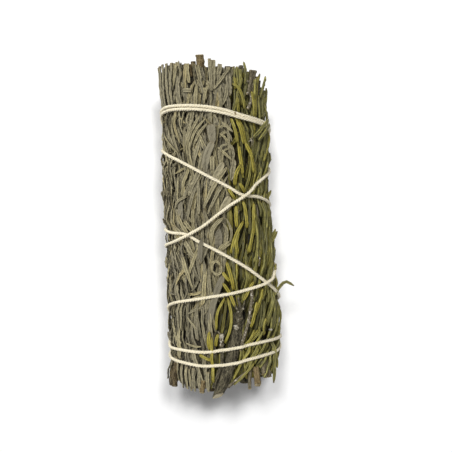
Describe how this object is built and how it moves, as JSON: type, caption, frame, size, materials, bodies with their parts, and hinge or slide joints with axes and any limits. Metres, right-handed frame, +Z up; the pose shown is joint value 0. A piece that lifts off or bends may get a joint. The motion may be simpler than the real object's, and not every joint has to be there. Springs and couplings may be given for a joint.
{
  "type": "dried herb bundle",
  "caption": "Small dried herb bundle of grey sage with rosemary along one side, trimmed at both ends, wound criss-cross with cotton string and lying on its side.",
  "frame": {"origin": "centre of the bundle's footprint on the surface it lies on", "axes": "+Y along the bundle towards the leaf tips, +Z up from the surface, +X towards the side that holds the rosemary"},
  "size_m": [0.0394, 0.1006, 0.0294],
  "materials": {
    "sage_leaf": "matt, felted and wrinkled dried leaf",
    "sage_stem": "matt dried twig with a paler cut end",
    "rosemary_needle": "satin dried needle, olive to yellow-green",
    "rosemary_stem": "matt furrowed bark with a light tan cut end",
    "string": "matt twisted cotton"
  },
  "bodies": {
    "root": {"sage_sprig_1_leaves": "sage_leaf", "sage_sprig_1_stem": "sage_stem", "sage_sprig_2_leaves": "sage_leaf", "sage_sprig_2_stem": "sage_stem", "sage_sprig_3_leaves": "sage_leaf", "sage_sprig_3_stem": "sage_stem", "sage_sprig_4_leaves": "sage_leaf", "sage_sprig_4_stem": "sage_stem", "sage_sprig_5_leaves": "sage_leaf", "sage_sprig_5_stem": "sage_stem", "sage_sprig_6_leaves": "sage_leaf", "sage_sprig_6_stem": "sage_stem", "sage_sprig_7_leaves": "sage_leaf", "sage_sprig_7_stem": "sage_stem", "sage_middle_1_leaves": "sage_leaf", "sage_middle_1_stem": "sage_stem", "sage_middle_2_leaves": "sage_leaf", "sage_middle_2_stem": "sage_stem", "rosemary_sprig_1_leaves": "rosemary_needle", "rosemary_sprig_1_stem": "rosemary_stem", "rosemary_sprig_2_leaves": "rosemary_needle", "rosemary_sprig_2_stem": "rosemary_stem", "rosemary_sprig_3_leaves": "rosemary_needle", "rosemary_sprig_3_stem": "rosemary_stem", "rosemary_sprig_4_leaves": "rosemary_needle", "rosemary_sprig_4_stem": "rosemary_stem", "cotton_string": "string"}
  },
  "joints": []
}
